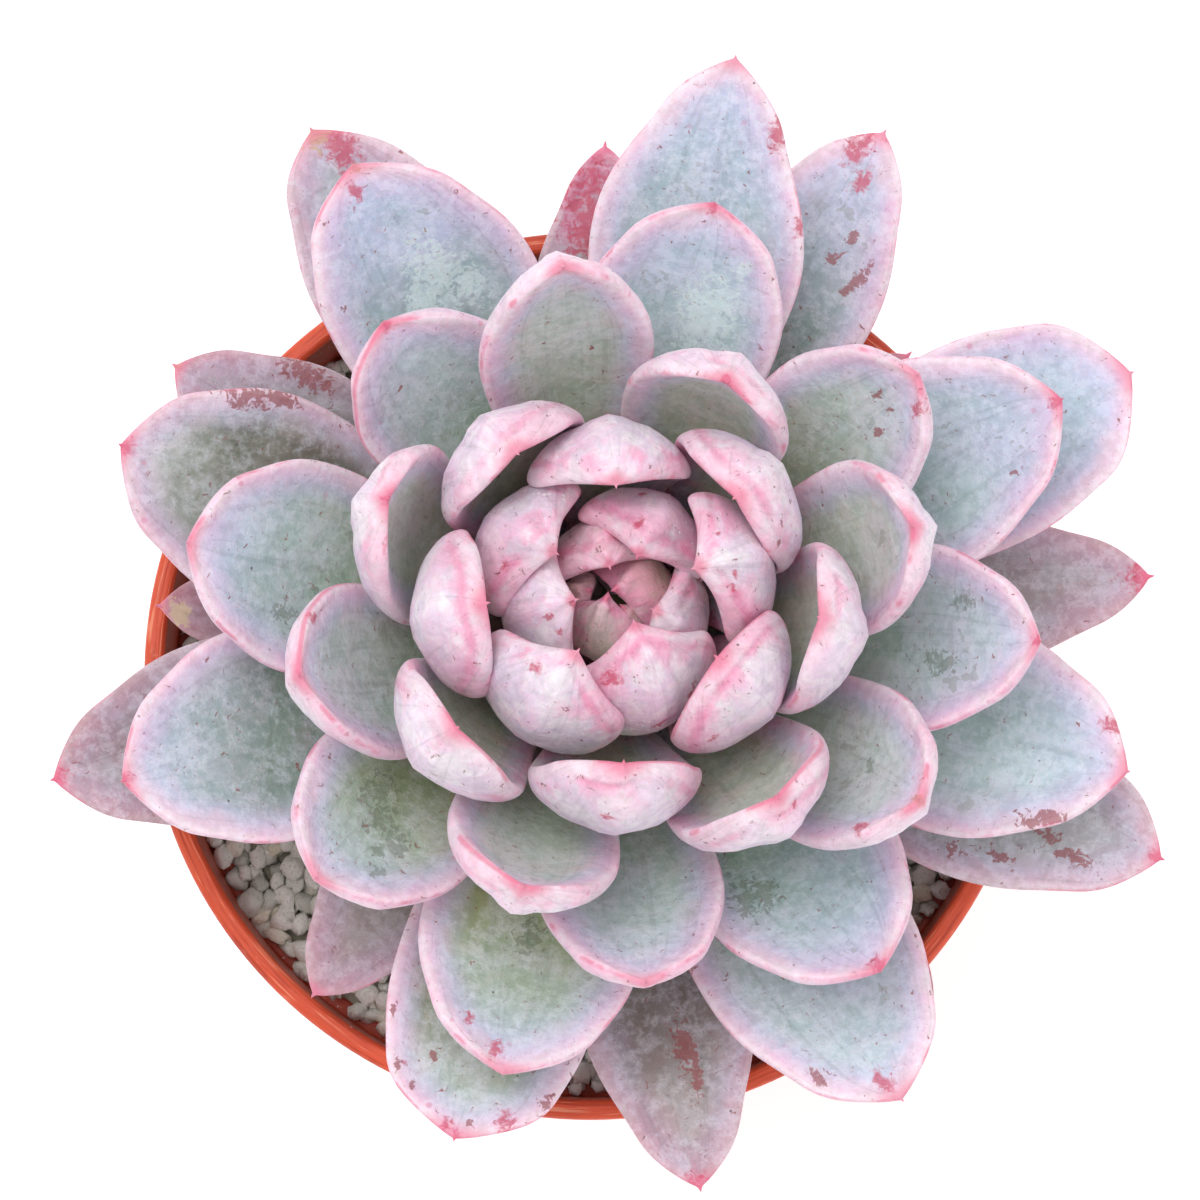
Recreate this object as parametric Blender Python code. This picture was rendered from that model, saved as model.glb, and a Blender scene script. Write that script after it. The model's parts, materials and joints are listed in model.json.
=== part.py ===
"""A lilac rosette succulent in a 12 cm plastic nursery pot, with potting mix and a pumice top layer.

Metres, +Z up. The origin is the centre of the pot's flat base. The rosette grows a little off the
pot's axis and leans. Its leaves follow one spiral up the stem, numbered from the oldest, lowest leaf.
"""

import math

import bmesh
import bpy
from mathutils import Euler, Matrix, Vector
from mathutils.bvhtree import BVHTree

# Pot
POT_RIM_DIAMETER = 0.120
POT_BASE_DIAMETER = 0.084
POT_HEIGHT = 0.098
POT_WALL = 0.0016
POT_FLOOR = 0.0020
POT_EDGE = 0.0006
COLLAR_HEIGHT = 0.016
COLLAR_STEP = 0.0022
LIP_HEIGHT = 0.0030
LIP_WIDTH = 0.0012
DRAIN_HOLES = 8
DRAIN_HOLE_DIAMETER = 0.009
DRAIN_CIRCLE_DIAMETER = 0.056
POT_SIDES = 72
MIX_SIDES = 36
HOLE_SIDES = 16

# What fills the pot. Neighbours that touch keep the gap.
GAP = 0.0003
GRIT_BELOW_RIM = 0.0125
GRIT_DEPTH = 0.007
GRIT_LUMP = 0.0012
GRIT_RINGS = 9
GRIT_SIDES = 40

# Stem
PLANT_X = 0.0002
PLANT_Y = 0.0062
PLANT_LEAN = 4.0
PLANT_NOD = 1.2
STEM_FOOT_RADIUS = 0.0085
STEM_TOP_RADIUS = 0.0042
STEM_TAPER = 1.3
STEM_ROOT_SHARE = 0.6
STEM_BURIED = 0.020
STEM_CLEAR = 0.0045
STEM_LEAFY_HEIGHT = 0.031
FIRST_LEAF_AT = 0.04
LAST_LEAF_AT = 0.92
STEM_SIDES = 20
STEM_STEPS = 8

# Rosette: the longest, the broadest and the thickest leaf
LEAVES = 54
BUD_LEAVES = 3
LEAF_LENGTH = 0.070
LEAF_WIDTH = 0.029
LEAF_THICKNESS = 0.0054
FIRST_LEAF_TURN = 30.0
GOLDEN_TURN = 137.5
BUD_HEIGHT = 0.013
BUD_RADIUS = 0.0052
BUD_FOOT = 0.16
BUD_POINT = 0.96
BUD_FULLNESS = 0.8
BUD_SIDES = 12
BUD_STEPS = 7

# How the other leaves compare, at evenly spaced ages from the oldest to the heart of the bud.
# Length, width and thickness are shares of the largest, the rises and the cup are in degrees.
LENGTH_BY_AGE = (0.70, 0.95, 0.99, 0.90, 0.77, 0.73, 0.66, 0.50, 0.18)
WIDTH_BY_AGE = (0.52, 0.79, 0.98, 0.97, 0.80, 0.74, 0.72, 0.64, 0.40)
THICKNESS_BY_AGE = (0.70, 0.80, 0.95, 1.00, 0.98, 0.92, 0.84, 0.70, 0.50)
BASE_RISE_BY_AGE = (10, 11, 13, 17, 22, 29, 36, 40, 42)
TIP_RISE_BY_AGE = (14, 22, 32, 46, 66, 104, 138, 164, 80)
BEND_BY_AGE = (1.0, 1.0, 1.1, 1.3, 1.5, 1.7, 1.9, 2.0, 1.4)
CUP_BY_AGE = (16, 18, 23, 28, 33, 40, 46, 50, 48)
ROUNDNESS_BY_AGE = (0.85, 1.00, 1.30, 1.45, 1.45, 1.50, 1.80, 2.20, 1.60)

# How single leaves stray from that: turned by degrees, longer by a share, bent sideways by a share
# of their length, and rounder at the end
STRAY_TURN = {
    1: 11, 2: 11, 3: 5, 4: 7, 5: 13, 6: 7, 7: 15, 8: 7, 9: 10, 10: 10, 11: 11, 12: 14, 13: 14,
    14: 7, 15: 7, 16: 8, 17: 4, 18: -7, 19: -3, 20: -6, 21: -3, 22: -13, 23: -2, 24: -7, 25: -14,
    26: -4, 27: -11, 28: -17, 29: -6, 30: -21, 31: 3, 32: -8, 33: -9, 34: 4, 35: -13, 36: 2, 37: 5,
    38: -14, 39: 6, 40: -2, 41: -2, 42: 2, 43: -6, 44: 5, 45: 2, 46: -4, 48: 3, 49: -1, 50: 1,
    51: -2, 52: -12, 53: -5, 54: -12,
}
STRAY_LENGTH = {
    1: 0.98, 2: 0.98, 3: 1.13, 5: 0.93, 6: 1.08, 7: 0.91, 8: 1.04, 9: 1.02, 10: 1.02, 11: 1.09,
    13: 0.96, 14: 1.03, 15: 0.89, 16: 1.02, 17: 1.04, 18: 0.95, 19: 1.03, 20: 0.98, 21: 0.94,
    23: 0.89, 24: 0.97, 25: 0.91, 26: 0.93, 27: 1.02, 28: 0.87, 31: 0.93, 32: 1.08, 33: 1.06,
    34: 1.06, 35: 1.04, 36: 0.90, 37: 1.06, 38: 0.95, 41: 0.87, 43: 0.91, 44: 0.94, 46: 0.92,
    47: 1.02, 49: 0.86, 50: 1.06, 51: 0.86, 52: 0.95, 53: 0.95, 54: 0.95,
}
STRAY_SWEEP = {12: 0.10, 17: 0.06, 20: 0.08, 28: 0.08, 31: -0.04, 36: -0.06}
STRAY_ROUNDNESS = {13: 1.6, 14: 1.4, 17: 0.7, 18: 0.9, 19: 0.9, 22: 0.85, 27: 0.85, 33: 0.75}

# A leaf's build: its stations from base to tip, the narrow neck and how its outline swells and ends
LEAF_STATIONS = (0.0, 0.12, 0.26, 0.40, 0.53, 0.65, 0.76, 0.86, 0.94)
HALF_TOP_POINTS = 2
MIDRIB_STEPS = 60
NECK_WIDTH = 0.18
WIDEST_AT = 0.66
SWELL_POWER = 1.35
END_POWER = 1.6
END_FULLNESS = 0.62
END_POINT = 0.20
BASE_THICKNESS = 0.38
THICKEST_AT = 0.5
TIP_THINNING = 0.62
THINNING_POWER = 2.2
BASE_CUP = 0.4
CUP_GROWTH = 0.9
LENS_POWER = 0.6
UPPER_SHARE = 0.28
SETTLE_STEP = 0.5
SETTLE_MOST = 40.0
SHRINK_STEP = 0.97

RIM_RADIUS = POT_RIM_DIAMETER / 2
COLLAR_RADIUS = RIM_RADIUS - LIP_WIDTH
BASE_RADIUS = POT_BASE_DIAMETER / 2
COLLAR_FOOT = POT_HEIGHT - COLLAR_HEIGHT
COLLAR_INSIDE = COLLAR_RADIUS - POT_WALL
LEDGE = COLLAR_FOOT + POT_WALL
GRIT_TOP = POT_HEIGHT - GRIT_BELOW_RIM
GRIT_FLOOR = GRIT_TOP - GRIT_DEPTH
STEM_FOOT = GRIT_TOP + STEM_CLEAR
STEM_END = GRIT_FLOOR - STEM_BURIED


def clear_scene():
    for old in list(bpy.data.objects):
        bpy.data.objects.remove(old)


def material(name, colour, roughness):
    made = bpy.data.materials.new(name)
    made.use_nodes = True
    shader = made.node_tree.nodes["Principled BSDF"]
    shader.inputs["Base Color"].default_value = (*colour, 1.0)
    shader.inputs["Roughness"].default_value = roughness
    shader.inputs["Metallic"].default_value = 0.0
    made.diffuse_color = (*colour, 1.0)
    return made


def add_object(name, mesh, look, parent=None):
    made = bpy.data.objects.new(name, mesh)
    bpy.context.scene.collection.objects.link(made)
    mesh.materials.append(look)
    made.parent = parent
    return made


def add_cutter(name, radius, top, bottom, sides, look, parent=None):
    """A drill bit that Booleans use. It isn't part of the object."""
    profile = [(0.0, top), (radius, top), (radius, bottom), (0.0, bottom)]
    cutter = add_object(name, turned_mesh(name, profile, sides), look, parent)
    cutter.hide_render = True
    cutter.display_type = "WIRE"
    return cutter


def cut_away(solid, cutter):
    cut = solid.modifiers.new(cutter.name, "BOOLEAN")
    cut.operation = "DIFFERENCE"
    cut.object = cutter


def turned_mesh(name, profile, sides):
    """A closed solid of revolution. The profile's (radius, height) points run down its outer side.

    It starts and ends on the axis, where a flat cap closes it.
    """
    form = bmesh.new()
    turns = [2 * math.pi * side / sides for side in range(sides)]
    rings = []
    for radius, height in profile[1:-1]:
        rings.append([form.verts.new((radius * math.cos(t), radius * math.sin(t), height)) for t in turns])
    for upper, lower in zip(rings, rings[1:]):
        for side in range(sides):
            after = (side + 1) % sides
            form.faces.new((upper[side], lower[side], lower[after], upper[after]))
    form.faces.new(rings[0])
    form.faces.new(rings[-1][::-1])
    mesh = bpy.data.meshes.new(name)
    form.to_mesh(mesh)
    form.free()
    mesh.shade_smooth()
    mesh.set_sharp_from_angle(angle=math.radians(35))
    return mesh


# ---- pot ----------------------------------------------------------------------------------------


def outer_radius(height):
    """The pot's outer wall below its collar."""
    top_radius = COLLAR_RADIUS - COLLAR_STEP
    return BASE_RADIUS + (top_radius - BASE_RADIUS) * height / COLLAR_FOOT


def inner_radius(height):
    """The pot's inner wall below its collar."""
    return outer_radius(height) - POT_WALL


def build_pot(look):
    profile = [
        (0.0, POT_FLOOR),
        (inner_radius(POT_FLOOR), POT_FLOOR),
        (inner_radius(LEDGE), LEDGE),
        (COLLAR_INSIDE, LEDGE),
        (COLLAR_INSIDE, POT_HEIGHT - POT_EDGE),
        (COLLAR_INSIDE + POT_EDGE, POT_HEIGHT),
        (RIM_RADIUS - POT_EDGE, POT_HEIGHT),
        (RIM_RADIUS, POT_HEIGHT - POT_EDGE),
        (RIM_RADIUS, POT_HEIGHT - LIP_HEIGHT),
        (COLLAR_RADIUS, POT_HEIGHT - LIP_HEIGHT),
        (COLLAR_RADIUS, COLLAR_FOOT),
        (outer_radius(COLLAR_FOOT), COLLAR_FOOT),
        (outer_radius(POT_EDGE), POT_EDGE),
        (BASE_RADIUS - POT_EDGE, 0.0),
        (0.0, 0.0),
    ]
    pot = add_object("pot", turned_mesh("pot", profile, POT_SIDES), look)
    for hole in range(DRAIN_HOLES):
        turn = 2 * math.pi * hole / DRAIN_HOLES
        name = f"drain_{hole + 1}"
        drill = add_cutter(name, DRAIN_HOLE_DIAMETER / 2, 2 * POT_FLOOR, -POT_FLOOR, HOLE_SIDES, look)
        drill.location = Vector((math.cos(turn), math.sin(turn), 0.0)) * DRAIN_CIRCLE_DIAMETER / 2
        cut_away(pot, drill)
    return pot


# ---- potting mix and grit -----------------------------------------------------------------------


def lump(ring, side):
    """How far the grit's top rises or dips at one of its points, from -1 to 1."""
    return math.sin(2.3 * side + 1.7 * ring) * math.sin(1.1 * side - 2.9 * ring)


def grit_mesh():
    """The pumice layer as one closed disc with a lumpy top. Where it is high enough, it lies on the ledge."""
    form = bmesh.new()
    levels = [(inner_radius(GRIT_FLOOR) - GAP, GRIT_FLOOR, 0.0)]
    edge = inner_radius(GRIT_TOP) - GAP
    if GRIT_FLOOR < LEDGE < GRIT_TOP - GAP:
        edge = COLLAR_INSIDE - GAP
        levels += [(inner_radius(LEDGE) - GAP, LEDGE + GAP, 0.0), (edge, LEDGE + GAP, 0.0)]
    for step in range(GRIT_RINGS):
        share = 1.0 - step / GRIT_RINGS
        levels.append((share * edge, GRIT_TOP, math.sin(math.pi * share)))
    rings = []
    for ring, (radius, height, swell) in enumerate(levels):
        points = []
        for side in range(GRIT_SIDES):
            turn = 2 * math.pi * side / GRIT_SIDES
            top = height + GRIT_LUMP * swell * lump(ring, side)
            points.append(form.verts.new((radius * math.cos(turn), radius * math.sin(turn), top)))
        rings.append(points)
    for lower, upper in zip(rings, rings[1:]):
        for side in range(GRIT_SIDES):
            after = (side + 1) % GRIT_SIDES
            form.faces.new((lower[side], lower[after], upper[after], upper[side]))
    form.faces.new(rings[0][::-1])
    form.faces.new(rings[-1])
    mesh = bpy.data.meshes.new("pumice_topdressing")
    form.to_mesh(mesh)
    form.free()
    mesh.shade_smooth()
    return mesh


def build_filling(mix_look, grit_look, rosette):
    bottom = POT_FLOOR + GAP
    top = GRIT_FLOOR - GAP
    profile = [
        (0.0, top),
        (inner_radius(top) - GAP, top),
        (inner_radius(bottom) - GAP, bottom),
        (0.0, bottom),
    ]
    mix = add_object("potting_mix", turned_mesh("potting_mix", profile, MIX_SIDES), mix_look)
    grit = add_object("pumice_topdressing", grit_mesh(), grit_look)
    hole_bottom = STEM_END - GAP - STEM_FOOT
    hole_radius = STEM_FOOT_RADIUS + GAP
    hole = add_cutter("stem_hole", hole_radius, STEM_CLEAR, hole_bottom, STEM_SIDES, mix_look, rosette)
    cut_away(mix, hole)
    cut_away(grit, hole)
    return grit


# ---- stem ---------------------------------------------------------------------------------------


def stem_radius(height):
    """The stem's radius at a height above its lowest leaf."""
    share = min(max(height / STEM_LEAFY_HEIGHT, 0.0), 1.0)
    return STEM_FOOT_RADIUS + (STEM_TOP_RADIUS - STEM_FOOT_RADIUS) * share**STEM_TAPER


def build_stem(look, rosette):
    buried = STEM_END - STEM_FOOT
    profile = [(0.0, STEM_LEAFY_HEIGHT)]
    for step in range(STEM_STEPS, -1, -1):
        height = STEM_LEAFY_HEIGHT * step / STEM_STEPS
        profile.append((stem_radius(height), height))
    profile.append((STEM_FOOT_RADIUS, GRIT_FLOOR - STEM_FOOT))
    profile.append((STEM_FOOT_RADIUS * STEM_ROOT_SHARE, buried))
    profile.append((0.0, buried))
    add_object("stem", turned_mesh("stem", profile, STEM_SIDES), look, rosette)


# ---- leaves -------------------------------------------------------------------------------------


def at_age(table, age):
    """Reads a table of evenly spaced ages, 0 for the oldest leaf and 1 for the heart."""
    place = age * (len(table) - 1)
    before = min(int(place), len(table) - 2)
    return table[before] + (table[before + 1] - table[before]) * (place - before)


def half_outline(share, roundness):
    """The leaf's width along its midrib, as a share of its widest place."""
    if share < WIDEST_AT:
        swell = math.sin(math.pi / 2 * share / WIDEST_AT) ** SWELL_POWER
        return NECK_WIDTH + (1 - NECK_WIDTH) * swell
    past = (share - WIDEST_AT) / (1 - WIDEST_AT)
    return (1 - past ** (END_POWER * roundness)) ** (END_FULLNESS + END_POINT / roundness)


def plumpness(share):
    """The leaf's thickness along its midrib, as a share of its thickest place."""
    if share < THICKEST_AT:
        return BASE_THICKNESS + (1 - BASE_THICKNESS) * math.sin(math.pi / 2 * share / THICKEST_AT)
    return 1 - TIP_THINNING * ((share - THICKEST_AT) / (1 - THICKEST_AT)) ** THINNING_POWER


class Leaf:
    """One leaf's sizes, in its own frame: +X out from its base, +Z up, its base at the origin."""

    def __init__(self, number):
        age = (number - 1) / (LEAVES + BUD_LEAVES - 1)
        self.name = f"leaf_{number:02d}"
        self.length = LEAF_LENGTH * at_age(LENGTH_BY_AGE, age) * STRAY_LENGTH.get(number, 1.0)
        self.width = LEAF_WIDTH * at_age(WIDTH_BY_AGE, age)
        self.thickness = LEAF_THICKNESS * at_age(THICKNESS_BY_AGE, age)
        self.sweep = self.length * STRAY_SWEEP.get(number, 0.0)
        self.base_rise = math.radians(at_age(BASE_RISE_BY_AGE, age))
        self.tip_rise = math.radians(at_age(TIP_RISE_BY_AGE, age))
        self.bend = at_age(BEND_BY_AGE, age)
        self.cup = math.radians(at_age(CUP_BY_AGE, age))
        self.roundness = at_age(ROUNDNESS_BY_AGE, age) * STRAY_ROUNDNESS.get(number, 1.0)
        turn = FIRST_LEAF_TURN + GOLDEN_TURN * (number - 1) + STRAY_TURN.get(number, 0)
        self.turn = math.radians(turn)
        self.height = STEM_LEAFY_HEIGHT * (FIRST_LEAF_AT + (LAST_LEAF_AT - FIRST_LEAF_AT) * age)
        lower_edge = self.height - self.thickness * plumpness(0.0)
        self.reach = stem_radius(lower_edge) + 2 * GAP

    def slope(self, share):
        return self.base_rise + (self.tip_rise - self.base_rise) * share**self.bend

    def midrib(self, share):
        """The point at a share of the midrib's length."""
        x = z = 0.0
        stretch = share * self.length / MIDRIB_STEPS
        for step in range(MIDRIB_STEPS):
            slope = self.slope(share * (step + 0.5) / MIDRIB_STEPS)
            x += math.cos(slope) * stretch
            z += math.sin(slope) * stretch
        return Vector((x, self.sweep * share * share, z))

    def ring(self, share, swell):
        """One closed cross-section: the upper face from edge to edge, then the lower face back."""
        centre = self.midrib(share)
        slope = self.slope(share)
        up = Vector((-math.sin(slope), 0.0, math.cos(slope)))
        across = Vector((0.0, 1.0, 0.0))
        cup = self.cup * min(1.0, BASE_CUP + CUP_GROWTH * share)
        radius = self.width / 2 * half_outline(share, self.roundness) / math.sin(cup)
        thick = self.thickness * plumpness(share)
        upper, lower = [], []
        for point in range(-HALF_TOP_POINTS, HALF_TOP_POINTS + 1):
            place = point / HALF_TOP_POINTS
            turn = cup * place
            lens = (1 - place * place) ** LENS_POWER
            normal = up * math.cos(turn) - across * math.sin(turn)
            arc = centre + across * (radius + swell) * math.sin(turn) + up * radius * (1 - math.cos(turn))
            upper.append(arc + normal * (UPPER_SHARE * thick * lens + swell))
            lower.append(arc - normal * ((1 - UPPER_SHARE) * thick * lens + swell))
        return upper + lower[-2:0:-1]

    def shape(self, swell=0.0):
        """Points and faces. A swell thickens the leaf all round, to measure room with."""
        points, faces = [], []
        for share in LEAF_STATIONS:
            points += self.ring(share, swell)
        around = 4 * HALF_TOP_POINTS
        last = (len(LEAF_STATIONS) - 1) * around
        for start in range(0, last, around):
            for side in range(around):
                after = (side + 1) % around
                ahead = start + around
                faces.append((start + side, ahead + side, ahead + after, start + after))
        tip = len(points)
        end_slope = self.slope(1.0)
        beyond = Vector((math.cos(end_slope), 0.0, math.sin(end_slope))) * swell
        points.append(self.midrib(1.0) + beyond)
        faces += [(last + side, tip, last + (side + 1) % around) for side in range(around)]
        faces.append(tuple(range(around)))
        return points, faces

    def shrink(self):
        """Makes the leaf a step smaller all over."""
        self.length *= SHRINK_STEP
        self.width *= SHRINK_STEP
        self.thickness *= SHRINK_STEP
        self.sweep *= SHRINK_STEP

    def stand(self, lift):
        """Where the leaf stands on the stem, lifted about its base by some degrees."""
        turned = Euler((0.0, -math.radians(lift), self.turn)).to_matrix().to_4x4()
        out = Vector((math.cos(self.turn), math.sin(self.turn), 0.0)) * self.reach
        return Matrix.Translation(out + Vector((0.0, 0.0, self.height))) @ turned


def solid_at(points, faces, stand):
    return BVHTree.FromPolygons([stand @ point for point in points], faces)


def solid_around(thing, frame):
    """A neighbour's surface, in the rosette's own frame."""
    points = [vertex.co for vertex in thing.data.vertices]
    faces = [tuple(face.vertices) for face in thing.data.polygons]
    return solid_at(points, faces, frame.inverted() @ thing.matrix_world)


def settle(leaf, below):
    """The leaf's stand with the least lift that clears everything below it.

    A leaf that no lift makes room for stays smaller, as the young leaves of a crowded heart do.
    """
    while True:
        points, faces = leaf.shape(swell=GAP)
        lift = 0.0
        while lift < SETTLE_MOST:
            stand = leaf.stand(lift)
            room = solid_at(points, faces, stand)
            if not any(room.overlap(other) for other in below):
                return stand
            lift += SETTLE_STEP
        leaf.shrink()


def build_leaves(looks, rosette, neighbours):
    """Grows the leaves from the lowest up, each laid on the ones before it. Returns their surfaces."""
    bpy.context.view_layer.update()
    below = [solid_around(thing, rosette.matrix_world) for thing in neighbours]
    for number in range(1, LEAVES + 1):
        leaf = Leaf(number)
        stand = settle(leaf, below)
        points, faces = leaf.shape()
        below.append(solid_at(points, faces, stand))
        mesh = bpy.data.meshes.new(leaf.name)
        mesh.from_pydata(points, [], faces)
        mesh.shade_smooth()
        look = looks[min(len(looks) * number // (LEAVES + 1), len(looks) - 1)]
        made = add_object(leaf.name, mesh, look, rosette)
        made.location = stand.to_translation()
        made.rotation_euler = stand.to_euler()
    return below


def bud_mesh(size, swell=0.0):
    """The bud at a share of its full size. A swell widens it, to measure room with."""
    height = BUD_HEIGHT * size
    profile = [(0.0, height)]
    for step in range(BUD_STEPS, -1, -1):
        share = step / BUD_STEPS
        belly = math.sin(math.pi * (BUD_FOOT + (BUD_POINT - BUD_FOOT) * share)) ** BUD_FULLNESS
        profile.append((BUD_RADIUS * size * belly + swell, height * share))
    profile.append((0.0, 0.0))
    return turned_mesh("heart_bud", profile, BUD_SIDES)


def build_heart(look, rosette, around):
    """The youngest leaves, still closed over the growing tip, as one pointed bud.

    It is as big as the leaves that stand around it leave room for.
    """
    foot = Matrix.Translation((0.0, 0.0, STEM_LEAFY_HEIGHT + GAP))
    size = 1.0
    while True:
        room = bud_mesh(size, swell=GAP)
        points = [vertex.co for vertex in room.vertices]
        faces = [tuple(face.vertices) for face in room.polygons]
        surface = solid_at(points, faces, foot)
        if not any(surface.overlap(leaf) for leaf in around):
            break
        size *= SHRINK_STEP
    bud = add_object("heart_bud", bud_mesh(size), look, rosette)
    bud.location = foot.to_translation()


def main():
    clear_scene()
    plastic = material("terracotta_plastic", (0.62, 0.10, 0.035), 0.45)
    soil = material("dark_mix", (0.06, 0.045, 0.03), 0.95)
    pumice = material("pumice", (0.62, 0.61, 0.55), 0.9)
    bark = material("stem_skin", (0.30, 0.28, 0.16), 0.7)
    leaf_looks = [
        material("old_leaf", (0.42, 0.24, 0.27), 0.6),
        material("open_leaf", (0.42, 0.43, 0.46), 0.6),
        material("upright_leaf", (0.48, 0.46, 0.48), 0.6),
        material("young_leaf", (0.70, 0.38, 0.48), 0.6),
    ]
    pot = build_pot(plastic)
    rosette = bpy.data.objects.new("rosette", None)
    bpy.context.scene.collection.objects.link(rosette)
    rosette.location = (PLANT_X, PLANT_Y, STEM_FOOT)
    rosette.rotation_euler = (math.radians(PLANT_NOD), math.radians(PLANT_LEAN), 0.0)
    grit = build_filling(soil, pumice, rosette)
    build_stem(bark, rosette)
    leaf_surfaces = build_leaves(leaf_looks, rosette, (pot, grit))
    build_heart(leaf_looks[-1], rosette, leaf_surfaces)


main()
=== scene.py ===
"""The looks of a lilac rosette succulent in a terracotta-coloured nursery pot.

Every leaf follows its CAD solid: its rings are read back from the frame and a fine surface is lofted
through them. The pumice grains are scattered over the CAD layer, and the pot is turned from its profile.
"""

import json
import math

import bmesh
import bpy
import numpy as np
from mathutils import Matrix, Vector, noise

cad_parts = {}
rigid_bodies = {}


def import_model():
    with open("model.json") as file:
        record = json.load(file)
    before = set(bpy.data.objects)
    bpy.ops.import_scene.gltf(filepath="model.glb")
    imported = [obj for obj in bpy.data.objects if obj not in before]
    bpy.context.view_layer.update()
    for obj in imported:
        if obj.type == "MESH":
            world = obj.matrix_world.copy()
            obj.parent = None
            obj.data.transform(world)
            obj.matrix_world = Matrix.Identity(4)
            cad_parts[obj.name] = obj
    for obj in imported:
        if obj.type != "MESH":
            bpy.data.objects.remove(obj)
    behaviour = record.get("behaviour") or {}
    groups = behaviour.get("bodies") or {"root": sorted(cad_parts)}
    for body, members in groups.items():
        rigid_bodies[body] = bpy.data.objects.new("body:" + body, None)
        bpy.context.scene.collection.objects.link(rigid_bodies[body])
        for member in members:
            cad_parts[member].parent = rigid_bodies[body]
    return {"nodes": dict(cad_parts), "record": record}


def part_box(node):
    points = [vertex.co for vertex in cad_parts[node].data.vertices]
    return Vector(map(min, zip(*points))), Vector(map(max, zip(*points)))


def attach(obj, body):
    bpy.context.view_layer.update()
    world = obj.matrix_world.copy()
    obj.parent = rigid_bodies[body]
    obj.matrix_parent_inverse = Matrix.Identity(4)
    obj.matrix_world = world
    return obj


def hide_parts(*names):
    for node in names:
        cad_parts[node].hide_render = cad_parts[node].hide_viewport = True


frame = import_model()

MM = 0.001
JOIN = 1e-6

# ---- leaf build, in metres and shares of a leaf's length ----
AROUND = 8
TOP_SHARE = 0.28
ROWS_BODY = 30
ROWS_END = 22
ROWS_TURN = 0.82
ROWS_CROWDING = 1.4
ROWS_POINT = 6
ROWS_STILL = 5
POINTS_AROUND = 52
BASE_ROOTED = 0.0016
LENS_ROUNDNESS = 2.05
MARGIN_RADIUS = 0.00034
POINT_LENGTH = 0.0006
POINT_SHAPE = 1.1
POINT_LIFT = 0.25
TIP_THICKNESS = 0.55
TAPER_FROM = 0.90
END_FROM = 0.93
END_TO = 0.99
END_PINCH = 0.05
BLUNT_FROM = 0.80
BLUNT_TO = 0.92
BLUNTNESS = 0.24
HORN_FROM = 0.80
HORN_TO = 0.975
HORN_PINCH = 0.58
YOUNG_FROM = 0.74
YOUNG_TO = 0.83
KEEL_HEIGHT = 0.0010
KEEL_WIDTH = 0.17
KEEL_OLD_SHARE = 0.25
KEEL_FROM = 0.40
KEEL_TO = 0.62
KEEL_ALONG = (0.45, 0.85)
SWELLS = (5.0, 1.6, 2.0)
SWELL_SIZE = 0.00032
RIPPLES = 3.1
RIPPLE_SIZE = 0.00014
CREASES = (3.0, 5.5, 4.0)
CREASE_SIZE = 0.00020
MARGIN_WAVES = 4.5
MARGIN_WAVE = 0.00045

# ---- heart: the leaves still closed over the growing tip, each by the side it stands on and how far
# round it reaches, in degrees, and by its width, its height and how far out its tip stops, as shares
# of the CAD bud
HEART_LEAVES = (
    (42, 88, 0.98, 0.95, 0.04),
    (-112, 68, 1.00, 1.00, 0.00),
    (162, 36, 0.94, 0.84, 0.42),
    (-46, 26, 0.62, 0.78, 0.30),
)
HEART_GAP = 0.00034
HEART_STATIONS = (0.0, 0.12, 0.26, 0.40, 0.53, 0.65, 0.76, 0.86, 0.94)
HEART_THICKNESS = 0.0013
HEART_DOME = (0.5, 0.443)
HEART_FOOT = 0.55
HEART_BELLY = 0.45
HEART_LEAN = 1.5
HEART_TIP = 1.02

# ---- traits by age: ages from the oldest leaf's 0 to the youngest's 1, and the trait at each
TRAITS_BY_AGE = {
    "blush": ((0.0, 0.15, 0.5, 0.7, 0.82, 1.0), (0.5, 0.25, 0.25, 0.55, 1.0, 0.9)),
    "dusk": ((0.0, 0.10, 0.16, 0.24), (1.0, 0.75, 0.35, 0.0)),
    "bloom": ((0.0, 0.15, 0.4, 0.7, 1.0), (0.3, 0.8, 0.7, 0.45, 0.3)),
    "sage": ((0.0, 0.2, 0.35, 0.6, 0.8, 1.0), (0.4, 0.55, 0.2, 0.4, 0.8, 1.0)),
    **dict.fromkeys(("shade", "lime", "olive"), ((0.0,), (0.0,))),
}

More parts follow.
